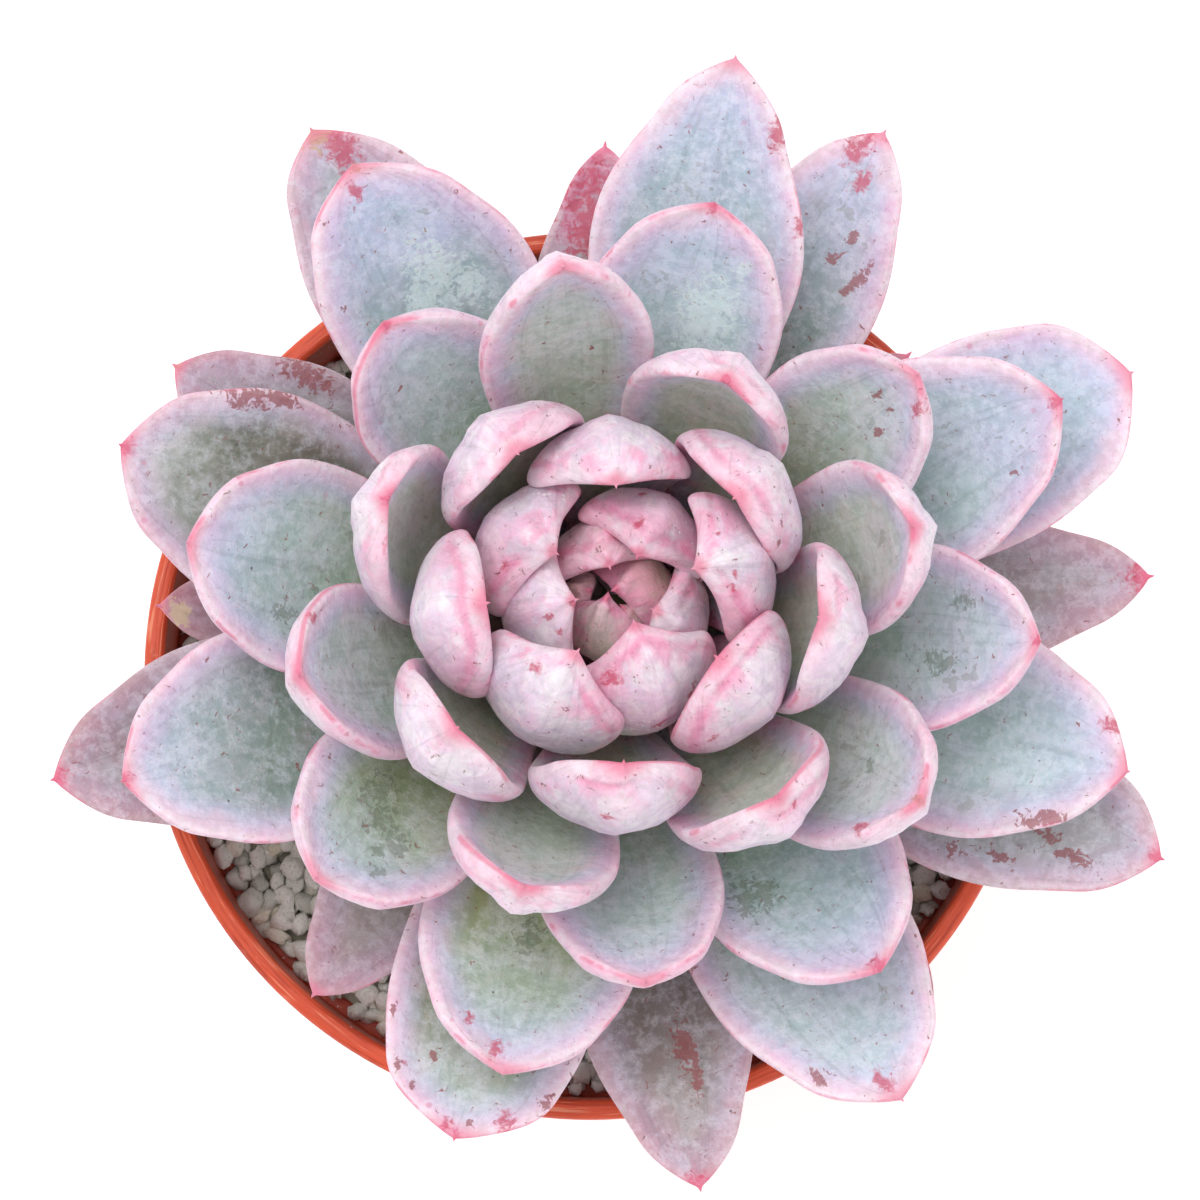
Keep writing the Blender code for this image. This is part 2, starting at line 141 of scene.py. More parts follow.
# ---- leaves whose looks stray from their age's; their shade is painted shade, darker in the middle of the upper face
OWN_TRAITS = {
    3: {"dusk": 0.8, "blush": 0.9, "shade": 0.6},
    4: {"dusk": 0.6, "blush": 1.0},
    5: {"dusk": 0.75, "sage": 1.0, "shade": 0.4},
    6: {"shade": 0.4},
    8: {"dusk": 0.65, "sage": 1.0, "shade": 0.9},
    9: {"dusk": 0.1, "blush": 0.35, "shade": 0.3, "sage": 0.0},
    10: {"dusk": 0.8, "bloom": 0.7},
    11: {"dusk": 0.45},
    12: {"dusk": 0.3, "blush": 0.4},
    13: {"dusk": 0.0, "sage": 1.0, "shade": 0.85, "lime": 0.7},
    14: {"dusk": 0.0, "sage": 0.1},
    15: {"dusk": 0.2, "sage": 1.0, "shade": 0.95},
    17: {"dusk": 0.0, "sage": 0.0, "bloom": 1.0, "shade": 0.15},
    18: {"shade": 0.5},
    20: {"sage": 0.0, "shade": 0.25},
    21: {"sage": 0.55, "shade": 0.1, "lime": 0.7},
    23: {"lime": 0.25},
    25: {"sage": 0.1},
    26: {"sage": 0.5, "lime": 0.5},
    30: {"lime": 0.3},
    54: {"blush": 0.8, "sage": 1.0, "olive": 0.3},
    55: {"blush": 0.75, "bloom": 0.1, "olive": 0.8},
    56: {"blush": 1.0, "bloom": 0.1, "olive": 0.6},
    57: {"blush": 0.1, "bloom": 0.0, "olive": 1.0, "dusk": 0.3},
    58: {"blush": 0.0, "bloom": 0.0, "olive": 1.0, "dusk": 0.5},
}

# ---- marks that single leaves carry, by kind and leaf: how far along and across the leaf, in hundredths
# from its base and its midrib, and the radius in tenths of a millimetre. They lie on the upper face, and
# on the under face of the younger leaves.
MARKS = {
    "scar": {
        7: ((75, -80, 24),), 8: ((75, 15, 22), (80, 30, 13)),
        9: ((80, -35, 9), (75, -70, 11), (75, -25, 8), (70, -60, 8)),
        11: ((85, -45, 15), (80, -30, 12), (75, -65, 11), (65, -75, 10)), 12: ((85, -50, 14),),
        13: ((90, 95, 10), (85, -50, 6), (90, -90, 8), (97, 20, 7), (80, -95, 7), (93, -75, 6)),
        15: ((80, -95, 22), (70, -95, 16)), 16: ((90, -80, 10),), 19: ((90, -95, 16), (85, -95, 12)),
        22: ((85, -60, 7),), 30: ((85, 15, 7), (85, -15, 6), (80, -20, 6)),
        43: ((90, -80, 5), (90, -60, 4)),
    },
    "red": {
        3: ((90, 90, 30),), 4: ((80, 0, 90),), 6: ((100, 10, 32),), 8: ((100, 0, 24),),
        9: ((95, 50, 26), (90, -10, 18)), 10: ((100, 0, 20),), 11: ((100, 0, 16),),
        12: ((95, -40, 36),), 13: ((95, 80, 18), (98, -50, 11), (100, 0, 12)), 15: ((100, 0, 18),),
        16: ((95, -10, 18),), 17: ((90, -100, 24), (75, -100, 14)), 18: ((100, 0, 14),),
        19: ((95, 90, 16),), 20: ((95, 20, 15),), 21: ((95, -30, 16), (90, -55, 10)),
        22: ((100, 40, 16),), 24: ((100, 60, 18),), 25: ((100, 0, 14),), 27: ((100, 50, 10),),
        28: ((100, 0, 13),), 30: ((95, -70, 18),), 31: ((90, -90, 12),), 32: ((90, -80, 16),),
        34: ((80, 20, 15),), 36: ((100, 0, 12),), 37: ((95, 30, 10),), 38: ((100, 0, 14),),
        42: ((85, -10, 8),), 45: ((80, -60, 8),), 47: ((90, -40, 14),),
        48: ((90, -50, 8), (90, -20, 7), (90, 50, 7)), 49: ((85, 50, 10),),
        50: ((85, -50, 18), (70, 35, 14), (65, 5, 9)), 51: ((75, 30, 9), (90, 30, 12)),
        52: ((90, 25, 9), (90, 60, 8)), 53: ((75, 0, 9), (75, -30, 8)),
    },
    "rub": {
        21: ((65, 5, 16), (60, 40, 12)), 23: ((70, 50, 12), (60, 30, 10), (50, 40, 14)),
        24: ((65, -60, 18), (65, -35, 15)),
        26: ((65, -20, 20), (70, -5, 16), (70, 25, 12), (80, 25, 9), (75, 40, 10), (85, 50, 9)),
        27: ((75, -30, 16), (80, 50, 12)), 32: ((75, 10, 9),),
    },
    "mint": {
        20: ((70, -15, 34), (65, -40, 22), (65, 15, 20)),
        25: ((70, -20, 38), (85, -55, 12), (65, -15, 24)),
    },
    "dry": {
        2: ((95, 50, 30),), 7: ((100, 0, 12),), 12: ((100, -40, 40),), 20: ((100, 0, 16),),
        32: ((100, 0, 14),),
    },
    "line": {
        28: ((90, 100, 70),), 31: ((90, -100, 50),), 34: ((90, -40, 40),), 37: ((95, 60, 40),),
        39: ((90, 10, 50),), 42: ((95, 50, 50),), 45: ((90, 0, 60),),
    },
    "powder": {
        47: ((75, 70, 24),), 49: ((80, -60, 25),), 50: ((65, -10, 26),), 51: ((80, -40, 20),),
    },
}
UNDER_MARKS_FROM = 33
# each kind's spread of ragged edge, the depths where it starts and is full, its share and its tint
MARK_LOOKS = (
    ("mint", 2.2, 0.36, 0.74, 0.60, "dcefeb"),
    ("red", 2.2, 0.24, 0.80, 0.78, "c23c5c"),
    ("scar", 2.6, 0.40, 0.62, 0.75, "94494a"),
    ("dry", 2.0, 0.46, 0.64, 0.85, "cdb898"),
)
# how much longer than broad each kind is drawn, and what share of its radius shows
MARK_SHAPES = {
    "scar": (2.4, 0.62), "red": (1.7, 0.54), "rub": (1.8, 0.85), "mint": (1.5, 0.95),
    "dry": (1.0, 0.62), "line": (2.5, 1.0), "powder": (1.2, 1.0),
}

# ---- pot ----
POT_SIDES = 180
POT_ROUNDING = 0.0004
WALL_FROM = 0.036
HOLE_SIDES = 32

# ---- pumice grit ----
GRAIN_SPACING = 0.00225
GRAIN_CROWD = 4.0e6
GRAIN_SMALLEST = 0.0010
GRAIN_LARGEST = 0.0021
GRAIN_SHAPES = 4
GRAIN_DENTS = 0.42
GRAIN_SEED = 11
GRAIN_COLOURS = ((0.0, "c4c6ba"), (0.12, "ecede2"), (0.5, "fdfcf4"), (0.8, "fffdf6"), (1.0, "f2ebd4"))
GRAIN_INSET = 0.8
GRAIN_DEPTH = 0.75
GRIT_LAYER_DROP = 0.0014
STEM_NEAR_GRIT = 0.006
GRIT_BED_SINK = 0.0038

# ---- stem ----
STEM_RIDGES = 2200
STEM_RIDGE_HEIGHT = 0.00012
STEM_ROUGHNESS = 0.00015

# ---- camera and light ----
CAMERA_AIM = Vector((0.0013, 0.0093, 0.098))
CAMERA_ELEVATION = 83.0
CAMERA_DISTANCE = 0.480
CAMERA_LENS = 107.0
SENSOR = 36.0
SKY_STRENGTH = 0.74
LAMPS = (("soft_box", (-0.25, 0.25, 0.9), 0.6, 3.6), ("fill", (0.5, -0.4, 0.7), 0.5, 1.0))
FLOOR_REACH = 8.0
FLOOR_GLOW = 0.36


# ---- small tools ----


def linear(hexcode):
    """A screen colour such as 'e2d1e6' as linear RGBA."""
    shades = [int(hexcode[i : i + 2], 16) / 255 for i in (0, 2, 4)]
    return tuple(s / 12.92 if s < 0.04045 else ((s + 0.055) / 1.055) ** 2.4 for s in shades) + (1.0,)


def smooth(low, high, value):
    """Rises smoothly from 0 at low to 1 at high."""
    share = np.clip((value - low) / (high - low), 0.0, 1.0)
    return share * share * (3 - 2 * share)


def spline_weights(knots, places):
    """The weights with which a natural cubic spline through values at knots gives values at places."""
    count = len(knots)
    gaps = np.diff(knots)
    system = np.eye(count)
    pull = np.zeros((count, count))
    for i in range(1, count - 1):
        system[i, i - 1 : i + 2] = gaps[i - 1], 2 * (gaps[i - 1] + gaps[i]), gaps[i]
        pull[i, i - 1] = 6 / gaps[i - 1]
        pull[i, i] = -6 / gaps[i - 1] - 6 / gaps[i]
        pull[i, i + 1] = 6 / gaps[i]
    bends = np.linalg.solve(system, pull)
    values = np.eye(count)
    weights = []
    for place in places:
        i = int(np.clip(np.searchsorted(knots, place) - 1, 0, count - 2))
        a = (knots[i + 1] - place) / gaps[i]
        b = 1 - a
        curve = ((a**3 - a) * bends[i] + (b**3 - b) * bends[i + 1]) * gaps[i] ** 2 / 6
        weights.append(a * values[i] + b * values[i + 1] + curve)
    return np.array(weights)


def unit(vectors):
    return vectors / np.maximum(np.linalg.norm(vectors, axis=-1, keepdims=True), 1e-12)


def put(name, data):
    """A new object in the scene."""
    made = bpy.data.objects.new(name, data)
    bpy.context.scene.collection.objects.link(made)
    return made


def mesh_of(form, name):
    mesh = bpy.data.meshes.new(name)
    form.to_mesh(mesh)
    form.free()
    return mesh


def add_piece(name, mesh, look, slot, *stands_for):
    """Puts a finished mesh in the scene as a piece that rides on the frame."""
    made = put(name, mesh)
    mesh.materials.clear()
    mesh.materials.append(look)
    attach(made, "root")
    if stands_for:
        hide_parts(*stands_for)
    return made


def merged(node):
    """A CAD node's surface with its loose triangles joined."""
    form = bmesh.new()
    form.from_mesh(frame["nodes"][node].data)
    bmesh.ops.remove_doubles(form, verts=form.verts, dist=JOIN)
    return form


# ---- node trees ----


def feed(tree, socket, value):
    """Links another node's output into a socket, or sets the socket's own value."""
    if isinstance(value, bpy.types.NodeSocket):
        tree.links.new(value, socket)
    else:
        socket.default_value = linear(value) if socket.type == "RGBA" else value


def add_step(tree, kind, inputs=(), output=0, **settings):
    """Adds a node to a tree and gives back one of its outputs."""
    node = tree.nodes.new(kind)
    for key, value in settings.items():
        setattr(node, key, value)
    for key, value in dict(inputs).items():
        feed(tree, node.inputs[key], value)
    return node.outputs[output]


class Finish:
    """A material's node tree, built one step at a time. A step's inputs are numbers, colours or steps."""

    def __init__(self, name):
        self.material = bpy.data.materials.new(name)
        self.material.use_nodes = True
        self.tree = self.material.node_tree
        self.shader = self.tree.nodes["Principled BSDF"]

    def step(self, kind, inputs=(), output=0, **settings):
        return add_step(self.tree, kind, inputs, output, **settings)

    def attribute(self, name):
        return self.step("ShaderNodeAttribute", output="Fac", attribute_name=name)

    def object_place(self):
        return self.step("ShaderNodeTexCoord", output="Object")

    def axis(self, place, letter):
        return self.step("ShaderNodeSeparateXYZ", {0: place}, letter)

    def stretch(self, place, scale=(1, 1, 1), shift=(0, 0, 0)):
        return self.step("ShaderNodeMapping", {"Vector": place, "Scale": scale, "Location": shift})

    def noise(self, place, scale, detail=3.0, roughness=0.55, distortion=0.0):
        inputs = {"Vector": place, "Scale": scale, "Detail": detail, "Roughness": roughness}
        return self.step("ShaderNodeTexNoise", {**inputs, "Distortion": distortion})

    def cells(self, place, scale, output="Distance"):
        return self.step("ShaderNodeTexVoronoi", {"Vector": place, "Scale": scale}, output)

    def math(self, operation, *values):
        return self.step("ShaderNodeMath", dict(enumerate(values)), operation=operation)

    def sum(self, total, *others):
        for other in others:
            total = self.math("ADD", total, other)
        return total

    def times(self, total, *others):
        for other in others:
            total = self.math("MULTIPLY", total, other)
        return total

    def swing(self, cloud, size):
        """A noise shifted to swing about zero."""
        return self.times(self.less(cloud, 0.5), size)

    def less(self, a, b):
        return self.math("SUBTRACT", a, b)

    def size(self, a):
        return self.math("ABSOLUTE", a)

    def rise(self, value, low, high, start=0.0, end=1.0):
        """Rises smoothly from start to end as the value goes from low to high."""
        inputs = {"Value": value, "From Min": low, "From Max": high, "To Min": start, "To Max": end}
        return self.step("ShaderNodeMapRange", inputs, interpolation_type="SMOOTHSTEP")

    def mix(self, share, a, b, blend="MIX"):
        inputs = {0: share, 6: a, 7: b}
        return self.step("ShaderNodeMix", inputs, 2, data_type="RGBA", blend_type=blend)

    def over(self, colour, *layers):
        """Lays tints over a colour, each with its own share."""
        for share, tint in layers:
            colour = self.mix(share, colour, tint)
        return colour

    def ramp(self, value, stops):
        output = self.step("ShaderNodeValToRGB", {0: value})
        marks = output.node.color_ramp.elements
        while len(marks) < len(stops):
            marks.new(0.5)
        for mark, (place, colour) in zip(marks, stops):
            mark.position = place
            mark.color = linear(colour)
        return output

    def bump(self, height, depth, before=None):
        inputs = {"Height": height, "Strength": 1.0, "Distance": depth}
        if before is not None:
            inputs["Normal"] = before
        return self.step("ShaderNodeBump", inputs)

    def done(self, colour, roughness, normal=None, constants=()):
        inputs = {"Base Color": colour, "Roughness": roughness}
        if normal is not None:
            inputs["Normal"] = normal
        for name, value in {**inputs, **dict(constants)}.items():
            feed(self.tree, self.shader.inputs[name], value)
        return self.material


# ---- leaf skin ----


def leaf_skin():
    """One waxy skin for every leaf. It reads how far a point is from the leaf's margin, how far along
    the leaf it is, the leaf's own traits and how deep the point lies in the leaf's marks."""
    skin = Finish("waxy_leaf_skin")
    read, cloud, ramp, rise, over = skin.attribute, skin.noise, skin.ramp, skin.rise, skin.over
    add, times, less, swing, size = skin.sum, skin.times, skin.less, skin.swing, skin.size
    place = skin.object_place()
    names = ("rim", "along", "age", "blush", "dusk", "bloom", "sage", "olive")
    rim, along, age, blush, dusk, bloom, sage, olive = map(read, names)

    broad = cloud(place, 85.0, 2.0)
    patchy = cloud(place, 210.0, 4.0, 0.6, 0.4)
    other = cloud(skin.stretch(place, shift=(0.31, 0.17, 0.05)), 260.0, 3.0, 0.6, 0.6)
    fine = cloud(place, 800.0, 5.0, 0.65)
    ragged = cloud(place, 1000.0, 4.0, 0.62, 0.8)
    chart = skin.step("ShaderNodeUVMap", uv_map="leaf_map")
    drawn = cloud(skin.stretch(chart, (24.0, 2.0, 1.0)), 1.0, 4.0, 0.65)
    grain = cloud(place, 2800.0, 3.0, 0.7)
    edge = add(rim, add(swing(patchy, 4.0), swing(broad, 4.0)))
    reach = add(along, swing(broad, 0.4))

    # the upper face: sage towards the base, blue outwards, then lilac, and pink at the margin; darker at
    # the base, partly the leaf's own green and partly painted shade in the cup
    cool = ramp(reach, ((0.18, "6f8c70"), (0.42, "9cbba6"), (0.66, "bad3d8"), (0.92, "c2d0ea")))
    green = ramp(reach, ((0.22, "7c9068"), (0.50, "9fb592"), (0.78, "bfd3c2"), (1.0, "ccd8da")))
    # painted shade: a mask over the middle of the upper face, away from the margin and towards the base,
    # where the cup is shaded
    deep = times(rise(rim, 1.0, 5.5), rise(reach, 1.0, 0.62))
    inner = over(
        cool,
        (sage, green),
        # painted light: the upper face of younger leaves made paler, lifting the shade in their cups
        (rise(age, 0.38, 0.70, 0.0, 0.7), "d3d8c2"),
        # painted shade: darker olive in the shaded middle of the leaves that carry a shade trait
        (times(read("shade"), deep), "5f6a54"),
        (times(read("lime"), rise(reach, 0.92, 0.50)), "a3a968"),
        (rise(edge, 6.0, 1.4, 0.0, 0.8), "d6d2ee"),
        (rise(edge, 3.2, 0.4, 0.0, 0.9), "f5d6e8"),
        (rise(add(rim, less(patchy, 0.5)), 1.4, 0.3, 0.0, 0.85), "ffeaf3"),
    )

    # the under face: lilac, white and pink, greener towards the base
    outer = over(
        ramp(reach, ((0.25, "b3c1a6"), (0.50, "d3d3cf"), (0.72, "ebdcf0"), (1.0, "f6dff0"))),
        (rise(other, 0.44, 0.62, 0.0, 0.75), "fff4fa"),
        (olive, ramp(reach, ((0.30, "a9a68a"), (0.62, "dccdb0"), (0.95, "f2ccc0")))),
        (rise(edge, -5.0, 0.5, 0.0, 0.75), "f8c8de"),
    )

    # blush in soft blotches, strongest in the heart and near the margin
    blotches = rise(add(patchy, swing(broad, 0.9)), 0.40, 0.62)
    near = rise(size(rim), 7.0, 0.5, 0.25, 1.0)

    # a pink crease that follows the margin on the under face, with a paler strip outside it
    bend = add(rim, swing(broad, 3.5), 2.6)
    young = rise(less(age, olive), 0.45, 0.65)
    crease = times(rise(size(bend), 0.9, 0.0), rise(broad, 0.40, 0.55), young)
    strip = times(rise(bend, 0.0, 0.9), rise(rim, 0.1, -0.3), young)

    # old leaves turn dusky
    dusky = ramp(along, ((0.15, "6f6a55"), (0.45, "8a827c"), (0.75, "a5858c"), (1.0, "b0606e")))
    dusky = over(dusky, (rise(patchy, 0.40, 0.62, 0.0, 0.6), "9d97a0"))
    colour = over(
        outer,
        (rise(rim, -0.3, 0.4), inner),
        (times(blotches, blush, near, 0.85), "f283b0"),
        (times(strip, 0.35), "fff0f6"),
        (times(crease, 0.32), "ec7aa4"),
        (times(dusk, 0.85), dusky),
    )

    # mottling, and fine lines drawn along the leaf
    mottle = rise(add(times(patchy, 0.5), times(fine, 0.5)), 0.58, 0.40, 0.0, 0.27)
    colour = skin.mix(mottle, colour, "aab3aa", "MULTIPLY")
    colour = skin.mix(rise(drawn, 0.50, 0.32, 0.0, 0.26), colour, "b0b6b0", "MULTIPLY")

    # powdery bloom, in clouds and grains; where it is rubbed off, the skin is darker and glossier
    clouds = rise(add(times(other, 0.5), times(fine, 0.5)), 0.44, 0.60)
    powder = times(clouds, bloom, rise(grain, 0.35, 0.62, 0.4, 1.0))
    worn = rise(add(times(patchy, 0.7), times(fine, 0.3)), 0.585, 0.615, 0.0, 0.6)
    worn = times(worn, rise(rim, 2.0, 4.0), rise(broad, 0.42, 0.6))
    rub = rise(add(read("rub"), swing(ragged, 3.0)), 0.42, 0.66, 0.0, 0.8)
    worn = skin.math("MAXIMUM", worn, rub)
    colour = over(colour, (times(powder, 0.5), "e6e9f3"), (times(worn, 0.62), "69775e"))

    # marks with ragged edges
    for name, spread, low, high, share, tint in MARK_LOOKS:
        depth = add(read(name), swing(ragged, spread))
        colour = over(colour, (rise(depth, low, high, 0.0, share), tint))

    # small specks, in cells: how many per metre, how large in a cell, how many carry one, and a shift
    def specks(scale, radius, share, shift):
        moved = skin.stretch(place, shift=(shift, 0.0, 0.0))
        dot = rise(skin.cells(moved, scale), radius, radius * 0.5)
        pick = skin.step("ShaderNodeSeparateColor", {0: skin.cells(moved, scale, "Color")}, 0)
        return times(dot, rise(pick, 1 - share, 1 - share + 0.02))

    # a thin crimson line that comes and goes along the margin, pink points, dark dots, pink freckles
    # and white grains of powder
    crisp = rise(size(add(rim, 0.2)), 0.6, 0.1, 0.0, 0.6)
    often = rise(add(patchy, times(read("line"), 0.45)), 0.50, 0.66)
    dusting = rise(read("powder"), 0.3, 0.6, 0.0, 0.8)
    colour = over(
        colour,
        (times(crisp, often), "d9607f"),
        (rise(add(along, times(blush, 0.01)), 0.965, 1.0, 0.0, 0.7), "e26f90"),
        (times(specks(330.0, 0.085, 0.10, 0.3), 0.75), "5b4a48"),
        (times(specks(300.0, 0.16, 0.16, 0.7), near, 0.4), "cf5f86"),
        (times(specks(1300.0, 0.34, 0.55, 0.1), dusting), "fffafc"),
    )

    rough = less(add(times(powder, 0.22), 0.50), times(worn, 0.12))
    relief = skin.bump(patchy, 0.00035)
    relief = skin.bump(times(crease, -1.0), 0.00022, relief)
    relief = skin.bump(fine, 0.00012, relief)
    relief = skin.bump(less(grain, times(worn, 1.5)), 0.00004, relief)
    waxy = {"Subsurface Weight": 0.12, "Subsurface Scale": 0.002, "Sheen Weight": 0.08}
    return skin.done(colour, rough, relief, waxy)


# ---- leaves ----


def ring_in_order(ring, ahead):
    """A ring's points in order round the leaf. Faces that reach the ring ahead tell its own edges."""
    order = [next(iter(ring))]
    while len(order) < len(ring):
        here = order[-1]
        for edge in here.link_edges:
            other = edge.other_vert(here)
            on_ring = other in ring and other not in order
            if on_ring and any(v in ahead for face in edge.link_faces for v in face.verts):
                order.append(other)
                break
        else:
            raise RuntimeError("a leaf's ring isn't closed")
    return np.array([v.co[:] for v in order])


def best_match(points, model):
    """The points in the order, either way round, that lies closest to the model ring."""
    centred = points - points.mean(0)
    goal = model - model.mean(0)
    turns = [np.roll(way, shift, axis=0) for way in (centred, centred[::-1]) for shift in range(AROUND)]
    best = min(turns, key=lambda turn: ((turn - goal) ** 2).sum())
    return best + points.mean(0)


def rings_from(tip):
    """The rings of points round a leaf, one after another, counted from its tip."""
    ahead, seen, rings = {tip}, {tip}, []
    while True:
        ring = {edge.other_vert(v) for v in ahead for edge in v.link_edges} - seen
        if not ring:
            return rings
        rings.append((ring, ahead))
        seen |= ring
        ahead = ring


def read_rings(node):
    """A leaf's rings from base to tip, each from one margin over the upper face and back; and its tip."""
    form = merged(node)
    ends = [v for v in form.verts if len(v.link_edges) == AROUND]
    tip = next(v for v in ends if all(len(ring) == AROUND for ring, _ in rings_from(v)))
    rings = [ring_in_order(ring, ahead) for ring, ahead in rings_from(tip)]
    end = np.array(tip.co[:])
    form.free()
    rings.reverse()
    widest = max(rings, key=lambda ring: np.linalg.norm(ring - ring.mean(0), axis=1).max())
    start = max(range(AROUND // 2), key=lambda i: np.linalg.norm(widest[i] - widest[i + AROUND // 2]))
    model = np.roll(widest, -start, axis=0)
    rings = [best_match(ring, model) for ring in rings]
    model = rings[len(rings) // 2]
    cup = (model[0] + model[4]) / 2 - (model[2] + model[6]) / 2
    if (model[2] - model[6]) @ cup < 0:
        rings = [ring[[0, 7, 6, 5, 4, 3, 2, 1]] for ring in rings]
        model = rings[len(rings) // 2]
    onward = rings[-1].mean(0) - rings[0].mean(0)
    if (model[4] - model[0]) @ np.cross(model[2] - model[6], onward) < 0:
        rings = [ring[[4, 3, 2, 1, 0, 7, 6, 5]] for ring in rings]
    return np.array(rings), end


def loft(rings, tip, age):
    """A fine leaf through the rings: rows of points, their place along and across, and which face."""
    upper = rings[:, :5]
    lower = rings[:, [0, 7, 6, 5, 4]]
    middle = (1 - TOP_SHARE) * upper + TOP_SHARE * lower
    middle = np.concatenate([middle, np.repeat(tip[None, None], 5, axis=1)])
    steps = np.linalg.norm(np.diff(middle[:, 2], axis=0), axis=1)
    knots = np.concatenate([[0.0], np.cumsum(steps)]) / steps.sum()
    length = steps.sum()
    thickness = np.linalg.norm(upper[:, 2] - lower[:, 2], axis=1)
    thickness = np.append(thickness, thickness[-1] * TIP_THICKNESS)

    rows = np.concatenate([
        np.linspace(0.0, ROWS_TURN, ROWS_BODY, endpoint=False),
        1 - (1 - ROWS_TURN) * np.linspace(1.0, 0.0, ROWS_END) ** ROWS_CROWDING,
    ])
    along = spline_weights(knots, rows)
    sheet = np.einsum("rk,kjx->rjx", along, middle)
    thick = along @ thickness
    turn = 2 * np.pi * np.arange(POINTS_AROUND) / POINTS_AROUND
    across = np.cos(turn)
    place = np.sign(across) * np.abs(across) ** (2 / LENS_ROUNDNESS)
    lens = np.abs(np.sin(turn)) ** (2 / LENS_ROUNDNESS)
    face = np.where(np.sin(turn) >= 0, 1.0, -1.0)
    sheet = np.einsum("pj,rjx->rpx", spline_weights(np.linspace(-1, 1, 5), place), sheet)
    centre = along @ middle[:, 2]

    # directions on the sheet, held still over the last rows, where the sheet closes to a point
    onward = unit(np.gradient(centre, axis=0))
    left = along @ (middle[:, 4] - middle[:, 0])
    last = len(rows) - ROWS_STILL
    left[last:] = left[last]
    left = unit(left)
    up = unit(np.cross(onward, left))
    order = np.argsort(place)
    slide = np.zeros_like(sheet)
    slide[:, order] = np.gradient(sheet[:, order], axis=1)
    rowwise = np.gradient(sheet, axis=0)
    normal = unit(np.cross(rowwise, slide))
    normal *= np.sign((normal * up[:, None]).sum(-1, keepdims=True))
    normal[last:] = normal[last]
    side = unit(np.cross(normal, np.broadcast_to(onward[:, None], normal.shape)))
    side *= np.sign((side * left[:, None]).sum(-1, keepdims=True))

    # the outline: a pinch before the tip, and room for the rounded margin
    youth = smooth(YOUNG_FROM, YOUNG_TO, age)
    pinch = 1 - END_PINCH * smooth(END_FROM, END_TO, rows)
    pinch *= 1 - youth * HORN_PINCH * smooth(HORN_FROM, HORN_TO, rows)
    half = np.linalg.norm(sheet - centre[:, None], axis=-1).max(1)
    shoulder = np.interp(BLUNT_FROM, rows, half)
    bluntness = BLUNTNESS * (1 - youth) * smooth(BLUNT_FROM, BLUNT_TO, rows)
    pinch *= (np.maximum(half, MARGIN_RADIUS) / shoulder) ** -bluntness
    inset = np.clip((half - MARGIN_RADIUS) / np.maximum(half, 1e-9), 0.0, 1.0)
    body = centre[:, None] + (sheet - centre[:, None]) * (pinch * inset)[:, None, None]

    close = np.minimum(1.0, np.sqrt(np.maximum(1 - rows, 0) / (1 - TAPER_FROM)))[:, None]
    swell = thick[:, None] * lens * close
    share = np.where(face > 0, TOP_SHARE, 1 - TOP_SHARE)
    keel_share = KEEL_OLD_SHARE + (1 - KEEL_OLD_SHARE) * smooth(KEEL_FROM, KEEL_TO, age)
    keel = KEEL_HEIGHT * keel_share * np.exp(-((place / KEEL_WIDTH) ** 2)) * (face < 0)
    swell = swell * share + keel * (smooth(*KEEL_ALONG, rows) * close[:, 0])[:, None]
    margin = MARGIN_RADIUS * (0.6 + 0.4 * close)
    points = body + normal * (face * swell)[..., None]
    points += side * (across * margin)[..., None] + normal * (np.sin(turn) * margin)[..., None]

    # the spine at the tip: the last row drawn out to a point along the midrib
    ahead = unit(onward[-1] + POINT_LIFT * up[-1])
    ends = []
    for step in range(1, ROWS_POINT + 1):
        out = step / ROWS_POINT
        ring = points[-1] - centre[-1]
        ends.append(centre[-1] + ring * (1 - out) ** POINT_SHAPE + ahead * POINT_LENGTH * out)
    root = points[:1] - onward[0] * BASE_ROOTED
    points = np.concatenate([root, points, np.array(ends)])
    rows = np.concatenate([[0.0], rows, 1 + POINT_LENGTH / length * np.linspace(0, 1, ROWS_POINT + 1)[1:]])
    normal = np.concatenate([normal[:1], normal, np.repeat(normal[-1:], ROWS_POINT, axis=0)])
    return points, normal, rows, place, face


def weather(points, normal, rows, place, face, seed):
    """Grown unevenness: broad swells, small ripples and a wavy margin."""
    made = points.copy()
    calm = smooth(0.0, 0.15, rows) * smooth(1.0, 0.9, rows)
    shift = Vector((seed * 3.7, seed * 1.3, seed * 2.1))
    for r in range(len(rows)):
        wave = noise.noise(Vector((rows[r] * MARGIN_WAVES, 0.0, 0.0)) + shift)
        other = noise.noise(Vector((rows[r] * MARGIN_WAVES, 9.0, 0.0)) + shift)
        for p in range(len(place)):
            here = (rows[r], place[p], face[p])
            spot = Vector([a * b for a, b in zip(here, SWELLS)]) + shift
            fold = Vector([a * b for a, b in zip(here, CREASES)]) + shift
            lift = SWELL_SIZE * noise.noise(spot) + RIPPLE_SIZE * noise.noise(spot * RIPPLES)
            lift += CREASE_SIZE * noise.noise(fold)
            edge = abs(place[p]) ** 4 * (wave if place[p] > 0 else other)
            rise = lift * face[p] * (1 - abs(place[p]) ** 6) + MARGIN_WAVE * edge
            made[r, p] += normal[r, p] * calm[r] * rise
    return made


def nearest_margin(points, place):
    """Each point's distance to the leaf's margin, in millimetres."""
    lines = [points[:, np.argmax(place)], points[:, np.argmin(place)]]
    margin = np.concatenate(lines)
    flat = points.reshape(-1, 3)
    gaps = np.linalg.norm(flat[:, None] - margin[None], axis=2).min(1)
    return gaps.reshape(points.shape[:2]) / MM


def set_attribute(mesh, name, values):
    layer = mesh.attributes.new(name, "FLOAT", "POINT")
    values = np.ascontiguousarray(values, np.float32).ravel()
    layer.data.foreach_set("value", values[: len(mesh.vertices)])


